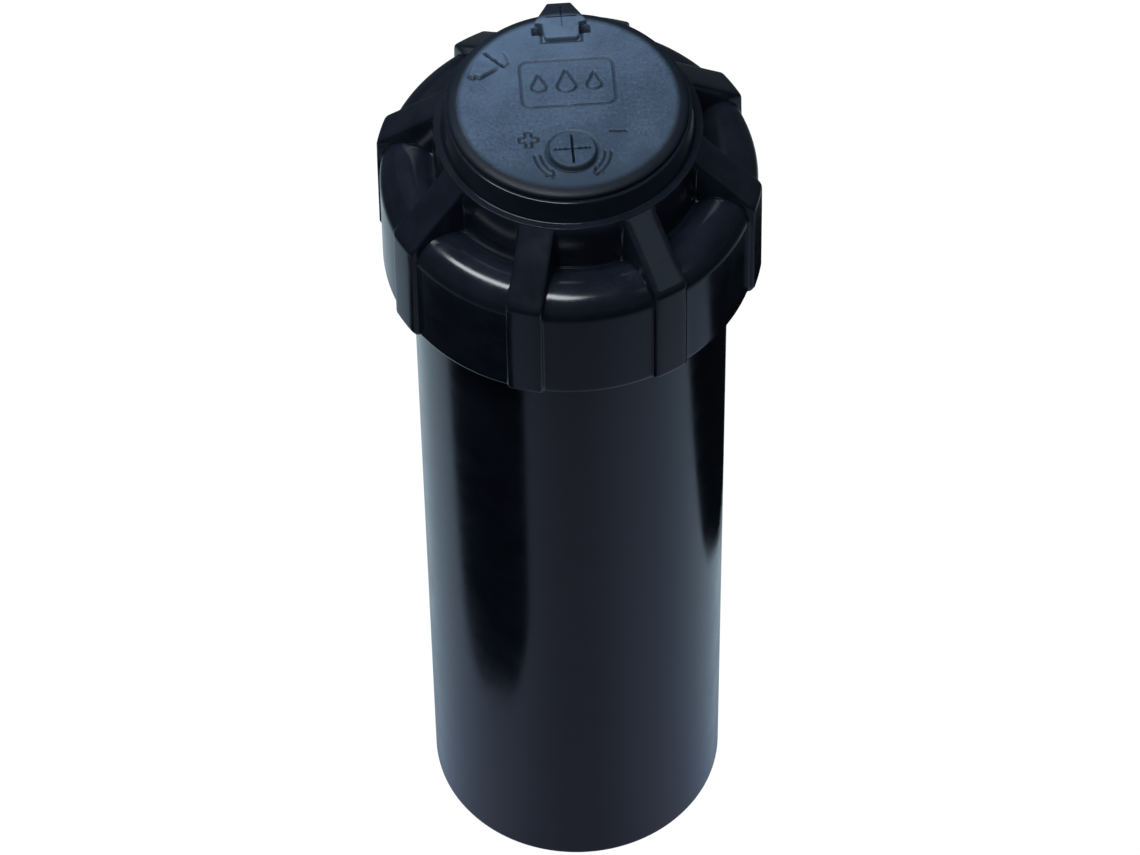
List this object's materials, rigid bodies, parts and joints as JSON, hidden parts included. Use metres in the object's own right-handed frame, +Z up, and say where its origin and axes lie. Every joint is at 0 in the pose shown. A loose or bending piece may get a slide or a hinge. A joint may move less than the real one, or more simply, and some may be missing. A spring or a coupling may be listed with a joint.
{
  "type": "pop up sprinkler",
  "caption": "Gear-driven pop-up rotor sprinkler: ribbed screw cap, can with pipe inlet, and a riser with turbine, gear train, nozzle turret and rubber cover.",
  "frame": {"origin": "centre of the face the can stands on, on the main axis", "axes": "+Z up along the main axis towards the rubber cover; the nozzle points near +Y; -Y is the front"},
  "size_m": [0.0702, 0.0702, 0.1981],
  "materials": {
    "black_plastic": "glossy moulded black, slightly worn",
    "cover_rubber": "satin slate grey moulded rubber",
    "seal_rubber": "matt black",
    "white_acetal": "smooth natural acetal",
    "grey_plastic": "fine grained grey",
    "nozzle_blue": "moulded blue",
    "stainless_steel": "drawn wire and ground pins",
    "brass": "turned"
  },
  "bodies": {
    "housing": {"body_can": "black_plastic", "body_cap": "black_plastic", "riser_seal": "seal_rubber", "seal_support_ring": "grey_plastic", "retraction_spring": "stainless_steel"},
    "ratchet_carriage": {"ratchet_ring": "white_acetal"},
    "riser": {"riser_stem": "black_plastic", "filter_screen": "grey_plastic", "stator": "white_acetal", "bypass_spring": "stainless_steel", "gear_spindle": "stainless_steel", "gearcase": "grey_plastic", "gearcase_lid": "grey_plastic", "turbine_bush": "brass", "output_seal": "seal_rubber", "thrust_washer": "white_acetal"},
    "bypass": {"bypass_valve": "white_acetal"},
    "reverser": {"reversing_plate": "white_acetal"},
    "trip_lever": {"trip_rod": "stainless_steel"},
    "turbine": {"turbine_wheel": "white_acetal", "turbine_shaft": "stainless_steel", "turbine_pinion": "white_acetal"},
    "gear_1": {"gear_cluster_1": "white_acetal"},
    "gear_2": {"gear_cluster_2": "white_acetal"},
    "gear_3": {"gear_cluster_3": "white_acetal"},
    "turret": {"output_gear": "white_acetal", "turret_housing": "black_plastic", "turret_lid": "black_plastic", "nozzle": "nozzle_blue", "rubber_cover": "cover_rubber"},
    "radius_adjuster": {"radius_screw": "stainless_steel"},
    "arc_adjuster": {"arc_screw": "white_acetal"},
    "arc_stop": {"arc_ring": "grey_plastic"}
  },
  "joints": [
    {"name": "riser_lift", "type": "slide", "parent": "housing", "child": "ratchet_carriage", "axis": [0, 0, 1], "range_m": [0, 0.102], "stiffness_N_per_m": 350, "springref_m": -0.07, "deforming": ["retraction_spring"]},
    {"name": "riser_ratchet", "type": "hinge", "parent": "ratchet_carriage", "child": "riser", "pos_m": [0, 0, 0.025], "axis": [0, 0, 1], "continuous": true},
    {"name": "bypass_lift", "type": "slide", "parent": "riser", "child": "bypass", "axis": [0, 0, 1], "range_m": [0, 0.002], "stiffness_N_per_m": 300, "springref_m": -0.003, "deforming": ["bypass_spring"]},
    {"name": "reverser_shift", "type": "hinge", "parent": "riser", "child": "reverser", "pos_m": [0, 0, 0.1055], "axis": [0, 0, 1], "range_deg": [-10, 10]},
    {"name": "trip_rod_turn", "type": "hinge", "parent": "riser", "child": "trip_lever", "pos_m": [0, -0.0162, 0.127], "axis": [0, 0, 1], "range_deg": [-34.5, 34.5]},
    {"name": "turret_turn", "type": "hinge", "parent": "riser", "child": "turret", "pos_m": [0, 0, 0.16], "axis": [0, 0, 1], "continuous": true},
    {"name": "gear_3_turn", "type": "hinge", "parent": "riser", "child": "gear_3", "pos_m": [0.0075, 0, 0.136], "axis": [0, 0, 1], "continuous": true},
    {"name": "gear_2_turn", "type": "hinge", "parent": "riser", "child": "gear_2", "pos_m": [0, 0, 0.132], "axis": [0, 0, 1], "continuous": true},
    {"name": "gear_1_turn", "type": "hinge", "parent": "riser", "child": "gear_1", "pos_m": [0.0075, 0, 0.128], "axis": [0, 0, 1], "continuous": true},
    {"name": "turbine_turn", "type": "hinge", "parent": "riser", "child": "turbine", "pos_m": [0, 0, 0.112], "axis": [0, 0, 1], "continuous": true},
    {"name": "radius_screw_travel", "type": "slide", "parent": "turret", "child": "radius_adjuster", "axis": [0, 0, -1], "range_m": [0, 0.006]},
    {"name": "arc_ring_turn", "type": "hinge", "parent": "turret", "child": "arc_stop", "pos_m": [0, 0, 0.157], "axis": [0, 0, 1], "range_deg": [-140, 180]},
    {"name": "arc_screw_turn", "type": "hinge", "parent": "turret", "child": "arc_adjuster", "pos_m": [0.00072, -0.01148, 0.17], "axis": [0, 0, 1], "range_deg": [-860, 670]}
  ],
  "couplings": [
    {"joint": "trip_rod_turn", "follows": "reverser_shift", "ratio": -3.4},
    {"joint": "gear_3_turn", "follows": "turret_turn", "ratio": 4.75},
    {"joint": "gear_2_turn", "follows": "turret_turn", "ratio": -13.062},
    {"joint": "gear_1_turn", "follows": "turret_turn", "ratio": 35.922},
    {"joint": "turbine_turn", "follows": "turret_turn", "ratio": -98.785},
    {"joint": "arc_screw_turn", "follows": "arc_ring_turn", "ratio": -4.75}
  ]
}
